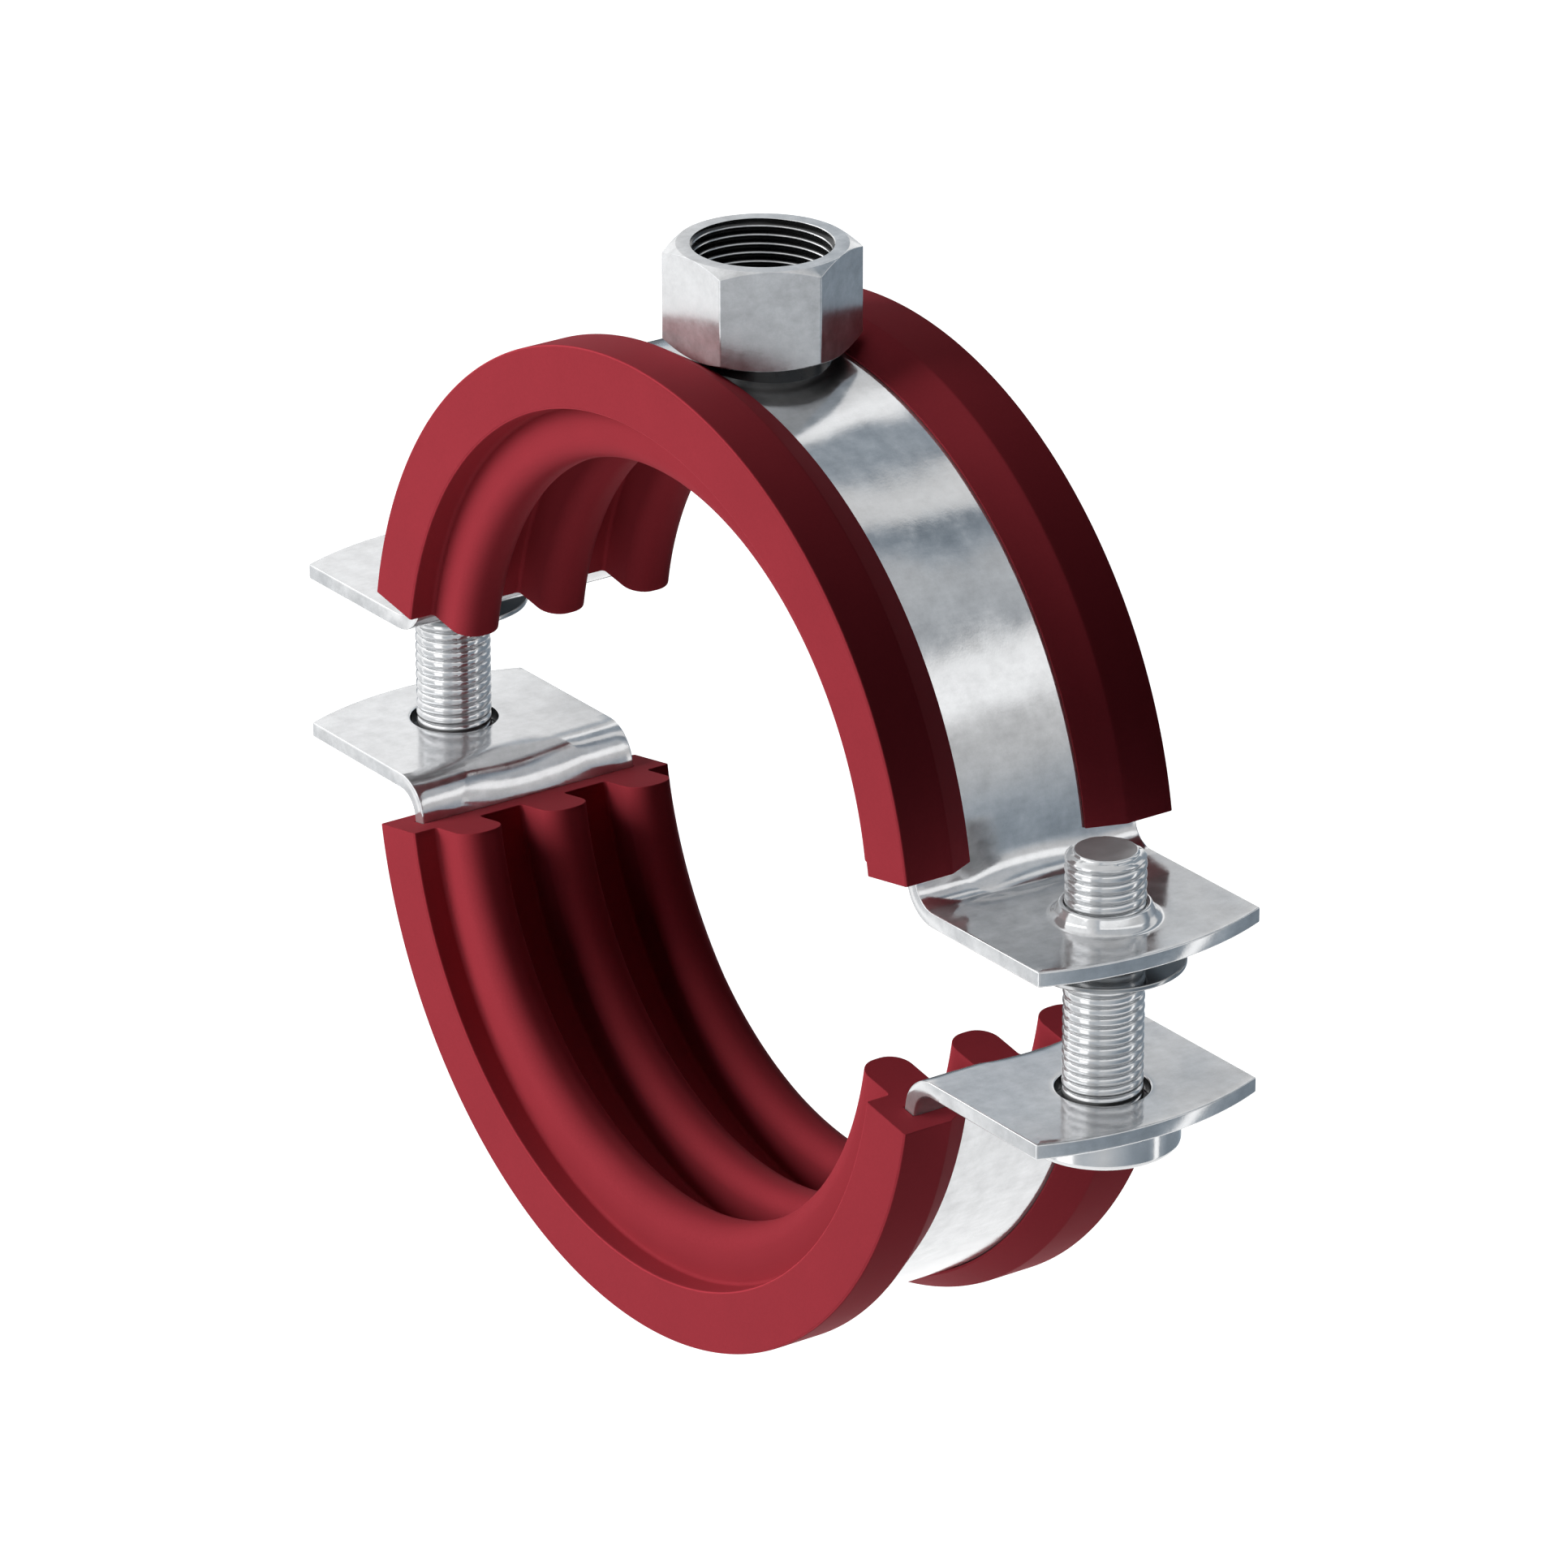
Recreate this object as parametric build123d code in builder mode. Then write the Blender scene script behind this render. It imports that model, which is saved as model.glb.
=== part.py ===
"""Two-screw steel pipe clamp with ribbed silicone inserts, millimetres.

+Z runs up through the connection nut, +Y along the pipe, +X across the lugs.
The origin is the centre of the upper half's ring, where a pipe's axis lies.
"""
from build123d import *
from math import cos, radians, sin, sqrt
import os

# steel strap, one half ring with a lug at each end
strap_width = 20.0
strap_thickness = 1.2
strap_inner_radius = 32.5
lug_face_height = 2.45
lug_edge_distance = 5.35
lug_end_bulge = 2.0
bend_radius = 2.0
half_spacing = 7.45

# gusset pressed into the middle of each bend
gusset_bend_radius = 3.4
gusset_half_width = 5.4
gusset_flare = 0.95
gusset_reach = 3.4

# clamping screws, head down, and the holes they pass
screw_offset = 9.0
screw_diameter = 6.0
screw_length = 20.0
screw_tip_diameter = 4.6
screw_tip_height = 0.6
head_diameter = 11.6
head_height = 3.0
head_edge_chamfer = 0.4
head_seat_clearance = 0.05
slot_span = 8.4
slot_width = 1.2
slot_depth = 1.1
cross_span = 4.6
cross_width = 1.5
cross_depth = 1.9
thread_clearance = 0.05
pass_hole_diameter = 7.0

# threaded collar drawn up out of each upper lug
collar_height = 1.15
collar_top_diameter = 6.8
collar_shoulder_diameter = 7.4
collar_shoulder_height = 0.45
collar_foot_diameter = 8.3

# thin washers that keep the screws captive
washer_diameter = 12.0
washer_thickness = 0.4
washer_drop = 1.97
washer_clearance = 0.1

# silicone insert, its section turned about the pipe axis
insert_clearance = 0.05
insert_end_angle = 9.9
web_thickness = 1.85
cheek_thickness = 2.05
lip_thickness = 1.75
lip_land_width = 4.2
lip_tip_thickness = 0.2
lip_collar_clearance = 0.05
rib_count = 3
rib_pitch = 8.0
rib_width = 4.0
rib_height = 4.4

# connection nut welded to the crown of the upper strap
nut_across_flats = 13.0
nut_height = 7.8
nut_lift = 1.05
nut_chamfer_angle = 28.0
nut_bore_diameter = 10.4
nut_mouth_diameter = 10.8
nut_floor_thickness = 0.8
weld_collar_diameter = 10.4
weld_bore_diameter = 8.4

# heights and radii that follow from the sizes above
strap_outer_radius = strap_inner_radius + strap_thickness
lug_back_height = lug_face_height + strap_thickness
screw_x = strap_outer_radius + screw_offset
lug_corner_reach = screw_x + lug_edge_distance
lug_end_reach = lug_corner_reach + lug_end_bulge
screw_places = ((-screw_x, 0), (screw_x, 0))
thread_hole_radius = screw_diameter / 2 + thread_clearance
middle_plane = Plane.XY.offset(-half_spacing / 2)
screw_seat_height = -half_spacing - lug_back_height - head_seat_clearance
washer_height = lug_face_height - washer_drop - washer_thickness
nut_foot_height = strap_outer_radius + nut_lift


def strap_part(inside_radius):
    """Half strap of even thickness whose bends have the given inside radius."""
    with BuildPart() as strap:
        with BuildSketch(Plane.XZ) as section:
            Circle(strap_outer_radius)
            with Locations((0, lug_face_height)):
                Rectangle(2 * lug_end_reach, strap_thickness, align=(Align.CENTER, Align.MIN))
            Circle(strap_inner_radius, mode=Mode.SUBTRACT)
            with Locations((0, lug_face_height)):
                Rectangle(
                    2 * lug_end_reach,
                    2 * strap_outer_radius,
                    align=(Align.CENTER, Align.MAX),
                    mode=Mode.SUBTRACT,
                )
            corners = section.vertices().filter_by(lambda v: abs(v.X) < lug_end_reach - 1)
            facing_gap = corners.filter_by(lambda v: v.Y < lug_face_height + strap_thickness / 2)
            fillet(facing_gap, inside_radius + strap_thickness)
            corners = section.vertices().filter_by(lambda v: abs(v.X) < strap_outer_radius)
            behind_lug = corners.filter_by(lambda v: abs(v.Y - lug_back_height) < strap_thickness / 2)
            on_outside = behind_lug.filter_by(lambda v: v.X**2 + v.Y**2 > strap_outer_radius**2 - 1)
            fillet(on_outside, inside_radius)
        extrude(amount=strap_width / 2, both=True)
    return strap.part


def gusset_block(side):
    """Flared block round the middle of one bend, square to the bend's bisector."""
    rise = lug_back_height + bend_radius
    run = sqrt((strap_outer_radius + bend_radius) ** 2 - rise**2)
    outwards = Vector(side, 0, 1).normalized()
    up_the_ring = Vector(-side, 0, 1).normalized()
    depth = bend_radius + 3 * strap_thickness
    face = Plane(
        origin=Vector(side * run, 0, rise) - outwards * depth,
        x_dir=up_the_ring,
        z_dir=outwards,
    )
    wide = gusset_half_width + gusset_flare * gusset_reach
    narrow = gusset_half_width - gusset_flare * gusset_reach
    with BuildPart() as block:
        with BuildSketch(face):
            with BuildLine():
                Polyline(
                    (-gusset_reach, -narrow),
                    (gusset_reach, -wide),
                    (gusset_reach, wide),
                    (-gusset_reach, narrow),
                    close=True,
                )
            make_face()
        extrude(amount=depth + strap_thickness)
    return block.part


def lug_outline():
    """Plan of the strap from above, its ends curved outwards."""
    half = strap_width / 2
    with BuildPart() as outline:
        with BuildSketch():
            with BuildLine():
                Line((-lug_corner_reach, -half), (lug_corner_reach, -half))
                SagittaArc((lug_corner_reach, -half), (lug_corner_reach, half), -lug_end_bulge)
                Line((lug_corner_reach, half), (-lug_corner_reach, half))
                SagittaArc((-lug_corner_reach, half), (-lug_corner_reach, -half), -lug_end_bulge)
            make_face()
        extrude(amount=2 * strap_outer_radius)
    return outline.part


os.makedirs("parts", exist_ok=True)

# half strap: even bends, then the flared middle of each taken from an easier bend
plain_strap = strap_part(bend_radius)
eased_strap = strap_part(gusset_bend_radius)
gussets = [gusset_block(-1), gusset_block(1)]

with BuildPart() as pressed_bends:
    add(eased_strap)
    add(gussets, mode=Mode.INTERSECT)

with BuildPart() as half_strap:
    add(plain_strap)
    add(gussets, mode=Mode.SUBTRACT)
    add(pressed_bends.part)
    add(lug_outline(), mode=Mode.INTERSECT)

# collar for one screw, on the lug's back
with BuildPart() as collar:
    with BuildSketch(Plane.XZ):
        with BuildLine():
            Polyline(
                (0, -strap_thickness / 2),
                (collar_foot_diameter / 2, -strap_thickness / 2),
                (collar_foot_diameter / 2, 0),
                (collar_shoulder_diameter / 2, collar_shoulder_height),
                (collar_top_diameter / 2, collar_height),
                (0, collar_height),
                close=True,
            )
        make_face()
    revolve(axis=Axis.Z)

with BuildPart() as upper_band:
    add(half_strap.part)
    with Locations(*[(x, y, lug_back_height) for x, y in screw_places]):
        add(collar.part)
    with Locations(*[(x, y, lug_back_height + collar_height) for x, y in screw_places]):
        Hole(thread_hole_radius, depth=collar_height + strap_thickness)
upper_band.part.label = "upper_band"
export_step(upper_band.part, "parts/upper_band.step")

with BuildPart() as lower_band:
    add(mirror(half_strap.part, about=middle_plane, mode=Mode.PRIVATE))
    with Locations(*[(x, y, -half_spacing - lug_face_height) for x, y in screw_places]):
        Hole(pass_hole_diameter / 2, depth=strap_thickness)
lower_band.part.label = "lower_band"
export_step(lower_band.part, "parts/lower_band.step")

# insert section: web and cheeks round the strap, lips over its edges, ribs to the pipe
channel_floor = strap_inner_radius - insert_clearance
channel_roof = strap_outer_radius + insert_clearance
channel_half = strap_width / 2 + insert_clearance
half_insert = channel_half + cheek_thickness
insert_floor_radius = channel_floor - web_thickness
insert_outer_radius = channel_roof + lip_thickness
land_half = half_insert - lip_land_width
lip_tip_radius = channel_roof + lip_tip_thickness
lip_tip_half = weld_collar_diameter / 2 + lip_collar_clearance
end_angle = radians(insert_end_angle)
section_plane = Plane(
    origin=(0, 0, 0),
    x_dir=(cos(end_angle), 0, sin(end_angle)),
    z_dir=(-sin(end_angle), 0, cos(end_angle)),
)

with BuildPart() as silicone_half:
    with BuildSketch(section_plane):
        with BuildLine():
            Polyline(
                (insert_floor_radius, -half_insert),
                (insert_outer_radius, -half_insert),
                (insert_outer_radius, -land_half),
                (lip_tip_radius, -lip_tip_half),
                (channel_roof, -lip_tip_half),
                (channel_roof, -channel_half),
                (channel_floor, -channel_half),
                (channel_floor, channel_half),
                (channel_roof, channel_half),
                (channel_roof, lip_tip_half),
                (lip_tip_radius, lip_tip_half),
                (insert_outer_radius, land_half),
                (insert_outer_radius, half_insert),
                (insert_floor_radius, half_insert),
                close=True,
            )
        make_face()
        with Locations((insert_floor_radius, 0)):
            with GridLocations(rib_pitch, rib_pitch, 1, rib_count):
                Rectangle(rib_height, rib_width, align=(Align.MAX, Align.CENTER))
    revolve(axis=Axis((0, 0, 0), (0, -1, 0)), revolution_arc=180 - 2 * insert_end_angle)

with BuildPart() as upper_insert:
    add(silicone_half.part)
upper_insert.part.label = "upper_insert"
export_step(upper_insert.part, "parts/upper_insert.step")

with BuildPart() as lower_insert:
    add(mirror(silicone_half.part, about=middle_plane, mode=Mode.PRIVATE))
lower_insert.part.label = "lower_insert"
export_step(lower_insert.part, "parts/lower_insert.step")

# connection nut, its weld collar cut to the strap's curve
corner_radius = nut_across_flats / sqrt(3)
chamfer_height = (corner_radius - nut_across_flats / 2) * sin(radians(nut_chamfer_angle)) / cos(
    radians(nut_chamfer_angle)
)

with BuildPart() as connection_nut:
    with BuildSketch(Plane.XY.offset(nut_foot_height)):
        RegularPolygon(nut_across_flats / 2, 6, major_radius=False)
    extrude(amount=nut_height)
    with BuildSketch(Plane.XZ):
        with BuildLine():
            Polyline(
                (0, nut_foot_height),
                (nut_across_flats / 2, nut_foot_height),
                (corner_radius, nut_foot_height + chamfer_height),
                (corner_radius, nut_foot_height + nut_height - chamfer_height),
                (nut_across_flats / 2, nut_foot_height + nut_height),
                (0, nut_foot_height + nut_height),
                close=True,
            )
        make_face()
    revolve(axis=Axis.Z, mode=Mode.INTERSECT)
    with BuildSketch(Plane.XY.offset(nut_foot_height)):
        Circle(weld_collar_diameter / 2)
    extrude(amount=-2 * nut_lift - strap_thickness)
    Cylinder(strap_outer_radius, strap_width, rotation=(90, 0, 0), mode=Mode.SUBTRACT)
    with Locations((0, 0, nut_foot_height + nut_height)):
        Hole(nut_bore_diameter / 2, depth=nut_height - nut_floor_thickness)
        Hole(weld_bore_diameter / 2, depth=nut_height + nut_lift + strap_thickness)
    mouth = connection_nut.edges().filter_by(GeomType.CIRCLE).group_by(Axis.Z)[-1].sort_by(SortBy.RADIUS)[0]
    chamfer(mouth, (nut_mouth_diameter - nut_bore_diameter) / 2)
connection_nut.part.label = "connection_nut"
export_step(connection_nut.part, "parts/connection_nut.step")

# clamping screw about its own axis, underside of the head at zero
head_radius = head_diameter / 2

with BuildPart() as screw:
    with BuildSketch(Plane.XZ) as screw_section:
        with BuildLine():
            Polyline(
                (0, -head_height),
                (head_radius, -head_height),
                (head_radius, 0),
                (screw_diameter / 2, 0),
                (screw_diameter / 2, screw_length - screw_tip_height),
                (screw_tip_diameter / 2, screw_length),
                (0, screw_length),
                close=True,
            )
        make_face()
        head_edge = screw_section.vertices().group_by(Axis.Y)[0].sort_by(Axis.X)[-1]
        chamfer(head_edge, head_edge_chamfer)
    revolve(axis=Axis.Z)
    with BuildSketch(Plane.XY.offset(-head_height)):
        Rectangle(slot_span, slot_width)
    extrude(amount=slot_depth, mode=Mode.SUBTRACT)
    with BuildSketch(Plane.XY.offset(-head_height)):
        Rectangle(cross_span, cross_width)
        Rectangle(cross_width, cross_span)
    extrude(amount=cross_depth, mode=Mode.SUBTRACT)

with BuildPart() as left_screw:
    with Locations((-screw_x, 0, screw_seat_height)):
        add(screw.part)
left_screw.part.label = "left_screw"
export_step(left_screw.part, "parts/left_screw.step")

with BuildPart() as right_screw:
    with Locations((screw_x, 0, screw_seat_height)):
        add(screw.part)
right_screw.part.label = "right_screw"
export_step(right_screw.part, "parts/right_screw.step")

# captive washer, on the thread below the upper lug
with BuildPart() as washer:
    with BuildSketch(Plane.XY.offset(washer_height)):
        Circle(washer_diameter / 2)
        Circle(screw_diameter / 2 + washer_clearance, mode=Mode.SUBTRACT)
    extrude(amount=washer_thickness)

with BuildPart() as left_washer:
    with Locations((-screw_x, 0, 0)):
        add(washer.part)
left_washer.part.label = "left_washer"
export_step(left_washer.part, "parts/left_washer.step")

with BuildPart() as right_washer:
    with Locations((screw_x, 0, 0)):
        add(washer.part)
right_washer.part.label = "right_washer"
export_step(right_washer.part, "parts/right_washer.step")
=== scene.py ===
"""Silicone-lined pipe clamp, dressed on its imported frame, with a plain studio round it.

Sizes are metres in the part's own frame: +Z up through the connection nut, +Y along the pipe,
+X across the lugs, and the origin on the upper half's ring centre.
"""
from math import acos, asin, atan2, ceil, cos, degrees, hypot, pi, radians, sin, sqrt, tan

import bmesh
import bpy
from bpy.props import FloatProperty, FloatVectorProperty, PointerProperty
from mathutils import Matrix, Vector


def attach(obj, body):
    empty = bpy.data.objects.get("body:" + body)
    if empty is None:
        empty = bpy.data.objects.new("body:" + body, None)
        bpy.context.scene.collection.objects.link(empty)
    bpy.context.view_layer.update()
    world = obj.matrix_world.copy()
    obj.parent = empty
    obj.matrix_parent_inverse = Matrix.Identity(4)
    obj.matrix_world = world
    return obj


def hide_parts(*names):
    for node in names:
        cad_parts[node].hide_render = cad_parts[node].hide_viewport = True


bl_info = {
    "name": "Silicone-lined pipe clamp",
    "version": (1, 0, 0),
    "blender": (4, 5, 0),
    "location": "3D View > Sidebar > Clamp",
    "description": "Rebuilds the clamp's straps, silicone, nut, screws and washers on the packed frame",
    "category": "Object",
}

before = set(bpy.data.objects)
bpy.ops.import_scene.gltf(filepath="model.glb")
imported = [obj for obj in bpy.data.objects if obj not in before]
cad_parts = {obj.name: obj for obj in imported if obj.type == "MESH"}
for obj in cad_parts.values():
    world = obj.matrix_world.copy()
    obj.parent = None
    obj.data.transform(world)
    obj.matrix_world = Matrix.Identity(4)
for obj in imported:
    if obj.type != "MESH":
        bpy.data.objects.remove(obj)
MM = 0.001
HALF_SPACING = 7.45 * MM
SCREW_X = 42.7 * MM
SIDES = (("left", -SCREW_X), ("right", SCREW_X))
SHARP_ANGLE = radians(38)
WELD_DISTANCE = 0.0005 * MM
# How much of a side one rounded corner may take
CORNER_SHARE = 0.49


def length(name, description, millimetres):
    """A length property, in metres, from its size in millimetres."""
    return FloatProperty(name=name, description=description, default=millimetres * MM, min=0.0, unit="LENGTH",
                         precision=5)


def turn(name, description, angle):
    """An angle property, in radians, from its size in degrees."""
    return FloatProperty(name=name, description=description, default=radians(angle), unit="ROTATION")


def share(name, description, value, top=1.0):
    """A plain number property that runs from nought to top."""
    return FloatProperty(name=name, description=description, default=value, min=0.0, max=top)


def paint(name, description, colour):
    """A colour property in linear red, green and blue."""
    return FloatVectorProperty(name=name, description=description, default=colour, subtype="COLOR", size=3,
                               min=0.0, max=1.0)


class StrapSizes(bpy.types.PropertyGroup):
    width: length("Width", "Width of the steel strip", 20.0)
    thickness: length("Thickness", "Thickness of the steel strip", 1.2)
    inner_radius: length("Inner radius", "Radius of the half ring's inside", 32.5)
    lug_height: length("Lug height", "Height of the lug's gap face over the ring's centre", 2.45)
    bend_radius: length("Bend radius", "Inside radius of the bend between ring and lug", 2.0)
    gusset_radius: length("Gusset bend radius", "Inside radius of the bend in the pressed gusset", 3.0)
    gusset_half_width: length("Gusset half width", "Half the gusset's width at the bend's middle", 5.4)
    gusset_flare: share("Gusset flare", "Widening of each gusset side per length up the ring", 0.95, 2.0)
    gusset_fullness: share("Gusset fullness", "How evenly deep the dish is before its sides", 2.0, 8.0)
    lug_corner: length("Lug corner reach", "Distance from the middle to the lug's corners", 48.05)
    lug_bulge: length("Lug end bulge", "How far the lug's curved end stands past its corners", 2.0)
    corner_round: length("Corner rounding", "Radius of the lug's corners in plan", 0.22)
    edge_round: length("Edge rounding", "Rounding along the sheared edges", 0.13)
    pass_hole: length("Pass hole", "Diameter of the lower lugs' holes", 7.0)
    thread_hole: length("Thread hole", "Diameter of the upper lugs' threaded holes", 6.1)
    collar_height: length("Collar height", "Height of the drawn collar over the lug", 1.15)
    collar_foot: length("Collar foot", "Diameter where the collar leaves the lug", 8.3)
    collar_shoulder: length("Collar shoulder", "Diameter of the collar's shoulder", 7.4)
    collar_shoulder_height: length("Collar shoulder height", "Height of the collar's shoulder", 0.45)
    collar_top: length("Collar top", "Diameter of the collar's rim", 6.8)


class InsertSizes(bpy.types.PropertyGroup):
    floor_radius: length("Floor radius", "Radius of the web's inside, between the ribs", 30.6)
    channel_floor: length("Channel floor", "Radius of the web's outside, under the strap", 32.45)
    channel_roof: length("Channel roof", "Radius of the lips' underside, over the strap", 33.75)
    channel_half: length("Channel half width", "Half the width of the channel that holds the strap", 10.05)
    outer_radius: length("Outer radius", "Radius of the lips' outer land", 35.5)
    half_width: length("Half width", "Half the insert's width along the pipe", 12.1)
    land_half: length("Land inside", "Half distance between the lips' flat lands", 7.9)
    tip_half: length("Lip opening", "Half distance between the lips' tips", 5.25)
    tip_radius: length("Lip tip radius", "Radius of the lips' thin tips", 33.95)
    rib_pitch: length("Rib pitch", "Distance between the ribs", 8.0)
    rib_width: length("Rib width", "Width of one rib", 4.0)
    rib_height: length("Rib height", "Height of the ribs over the web", 4.4)
    rib_tip: length("Rib tip rounding", "Radius on each side of a rib's tip", 1.75)
    rib_root: length("Rib root rounding", "Fillet between rib and web", 0.3)
    edge_round: length("Edge rounding", "Rounding of the section's outer corners", 0.22)
    end_round: length("End rounding", "Rounding along the cut ends", 0.07)
    end_angle: turn("End angle", "Angle at which each end is cut back from the split", 9.9)


class NutSizes(bpy.types.PropertyGroup):
    across_flats: length("Across flats", "Width of the nut across its flats", 13.0)
    foot: length("Foot", "Height of the nut's underside", 34.75)
    height: length("Height", "Height of the nut", 7.8)
    chamfer: turn("Chamfer", "Slope of the chamfered corners", 28.0)
    corner_round: length("Corner rounding", "Rounding of the six upright corners", 0.2)
    edge_round: length("Edge rounding", "Rounding of the chamfers' edges", 0.06)
    bore: length("Bore", "Diameter over the thread's crests", 10.4)
    mouth: length("Mouth", "Diameter of the countersunk mouth", 10.8)
    thread_depth: length("Thread depth", "Depth of the connection thread", 0.34)
    thread_pitch: length("Thread pitch", "Pitch of the connection thread", 0.7)
    floor: length("Floor", "Thickness of the bore's floor over the nut's underside", 0.8)
    collar: length("Weld collar", "Diameter of the foot welded to the strap", 10.4)
    weld_bore: length("Weld bore", "Diameter of the hole through the floor and the foot", 8.4)


class ScrewSizes(bpy.types.PropertyGroup):
    seat: length("Seat depth", "Depth of the head's upper face under the ring's centre", 11.15)
    diameter: length("Diameter", "Diameter over the thread's crests", 6.0)
    shank: length("Length", "Length under the head", 20.0)
    pitch: length("Pitch", "Pitch of the rolled thread", 0.8)
    depth: length("Thread depth", "Depth of the rolled thread", 0.24)
    tip: length("Tip", "Diameter of the flat tip", 4.5)
    tip_height: length("Tip height", "Height of the tapered tip", 0.6)
    head: length("Head", "Diameter of the head", 11.6)
    head_height: length("Head height", "Height of the head", 3.0)
    head_round: length("Head rounding", "Rounding of the head's lower edge", 0.5)
    slot_span: length("Slot span", "Length of the drive slot", 8.4)
    slot_width: length("Slot width", "Width of the drive slot", 1.2)
    slot_depth: length("Slot depth", "Depth of the drive slot", 1.1)
    cross_span: length("Cross span", "Span of the cross recess", 4.6)
    cross_width: length("Cross width", "Width of the cross recess's arms", 1.5)
    cross_depth: length("Cross depth", "Depth of the cross recess", 1.9)


class WasherSizes(bpy.types.PropertyGroup):
    diameter: length("Diameter", "Outer diameter", 12.0)
    bore: length("Bore", "Bore diameter", 6.2)
    thickness: length("Thickness", "Thickness", 0.4)
    bottom: length("Height", "Height of the underside over the ring's centre", 0.08)
    edge_round: length("Edge rounding", "Rounding of the edges", 0.12)


class FinishColours(bpy.types.PropertyGroup):
    silicone: paint("Silicone", "Colour of the red silicone", (0.375, 0.040, 0.054))
    zinc: paint("Zinc plate", "Colour of the zinc plating", (0.70, 0.71, 0.72))
    zinc_metallic: share("Zinc metallic", "Share of the plating that mirrors; the rest scatters", 0.64)
    strap_roughness: share("Strap roughness", "Roughness of the strap's plating", 0.12)
    nut_roughness: share("Nut roughness", "Roughness of the nut's plating", 0.19)
    screw_roughness: share("Screw roughness", "Roughness of the screws' and washers' plating", 0.1)
    silicone_roughness: share("Silicone roughness", "Roughness of the silicone", 0.55)


class StudioSettings(bpy.types.PropertyGroup):
    azimuth: turn("Camera azimuth", "Camera's direction round the clamp, from -Y towards +X", 54.63)
    elevation: turn("Camera elevation", "Camera's height over the horizon", 23.143)
    distance: length("Camera distance", "From the camera to the middle of the view", 679.678)
    lens: share("Lens", "Focal length in millimetres on a 36 mm sensor", 205.72, 1000.0)
    floor_drop: length("Floor drop", "Depth of the floor under the ring's centre", 600.0)
    key_power: share("Key lamp", "Power of the large lamp at the front left, in watts", 2.3, 1000.0)
    fill_power: share("Fill lamp", "Power of the soft lamp low in front, in watts", 0.8, 1000.0)
    top_power: share("Top lamp", "Power of the soft lamp overhead, in watts", 2.8, 1000.0)
    ambient: share("Ambient", "Strength of the even light from all round", 0.005, 2.0)
    floor_glow: share("Floor glow", "Brightness of the floor where it is seen, before the lamps", 1.25, 2.0)
    tent_radius: length("Tent radius", "Radius of the light tent that the metal mirrors", 420.0)


def smoothed(data):
    """A mesh shaded smooth all over but at its sharp edges."""
    data.polygons.foreach_set("use_smooth", [True] * len(data.polygons))
    data.set_sharp_from_angle(angle=SHARP_ANGLE)
    return data


def add_object(name, data):
    """A new object in the scene that holds a mesh, a lamp or a camera."""
    thing = bpy.data.objects.new(name, data)
    bpy.context.scene.collection.objects.link(thing)
    return thing


class Shell:
    """Points and faces of one piece, gathered patch by patch and joined where they meet."""

    def __init__(self):
        self.points = []
        self.faces = []

    def grid(self, rows, round_rows=False, round_columns=False):
        """A patch of quads over rows of points, closed on itself either way if asked."""
        start = len(self.points)
        wide = len(rows[0])
        for row in rows:
            self.points.extend(row)
        tall = len(rows)
        for i in range(tall if round_rows else tall - 1):
            for j in range(wide if round_columns else wide - 1):
                here = start + i * wide
                ahead = start + (i + 1) % tall * wide
                beside = (j + 1) % wide
                self.faces.append((here + j, here + beside, ahead + beside, ahead + j))

    def cap(self, ring):
        """One flat face over a ring of points."""
        start = len(self.points)
        self.points.extend(ring)
        self.faces.append(tuple(range(start, start + len(ring))))

    def mesh(self, name):
        """The finished mesh, its seams welded and its faces turned outwards."""
        data = bpy.data.meshes.new(name)
        data.from_pydata([tuple(p) for p in self.points], [], self.faces)
        work = bmesh.new()
        work.from_mesh(data)
        bmesh.ops.remove_doubles(work, verts=work.verts, dist=WELD_DISTANCE)
        bmesh.ops.dissolve_degenerate(work, edges=work.edges, dist=WELD_DISTANCE)
        bmesh.ops.recalc_face_normals(work, faces=work.faces)
        work.to_mesh(data)
        work.free()
        return smoothed(data)


def rounded_path(corners, steps, closed=False):
    """Points along a polyline of (a, b, radius) corners, each rounded as far as its sides allow."""
    count = len(corners)
    path = []
    for i, (a, b, radius) in enumerate(corners):
        here = Vector((a, b))
        if not closed and i in (0, count - 1):
            path.append((a, b))
            continue
        before = Vector(corners[i - 1][:2]) - here
        after = Vector(corners[(i + 1) % count][:2]) - here
        if radius == 0 or before.length == 0 or after.length == 0:
            path.extend([(a, b)] * (steps + 1))
            continue
        way_in = before.normalized()
        way_out = after.normalized()
        half = acos(max(-1.0, min(1.0, way_in.dot(way_out)))) / 2
        reach = min(radius / tan(half), before.length * CORNER_SHARE, after.length * CORNER_SHARE)
        centre = here + (way_in + way_out).normalized() * (reach * tan(half) / sin(half))
        start = here + way_in * reach - centre
        end = here + way_out * reach - centre
        sweep = start.angle_signed(end)
        for k in range(steps + 1):
            arm = start.copy()
            arm.rotate(Matrix.Rotation(-sweep * k / steps, 2))
            path.append(tuple(centre + arm))
    return path


def inset(outline, amount):
    """A closed outline moved inwards, to the left of its run, by a small amount."""
    moved = []
    for i, point in enumerate(outline):
        back = Vector(point) - Vector(outline[i - 1])
        ahead = Vector(outline[(i + 1) % len(outline)]) - Vector(point)
        run = (back.normalized() + ahead.normalized()).normalized()
        moved.append((point[0] - run.y * amount, point[1] + run.x * amount))
    return moved


def direction(azimuth, elevation):
    """A unit arrow at an azimuth from +X towards +Y and at a height over the horizon."""
    return (cos(azimuth) * cos(elevation), sin(azimuth) * cos(elevation), sin(elevation))


def flip(point):
    """A point of the upper half taken to its place in the lower half."""
    return (point[0], point[1], -HALF_SPACING - point[2])


def keep(point):
    """A point of the upper half as it is."""
    return point


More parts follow.
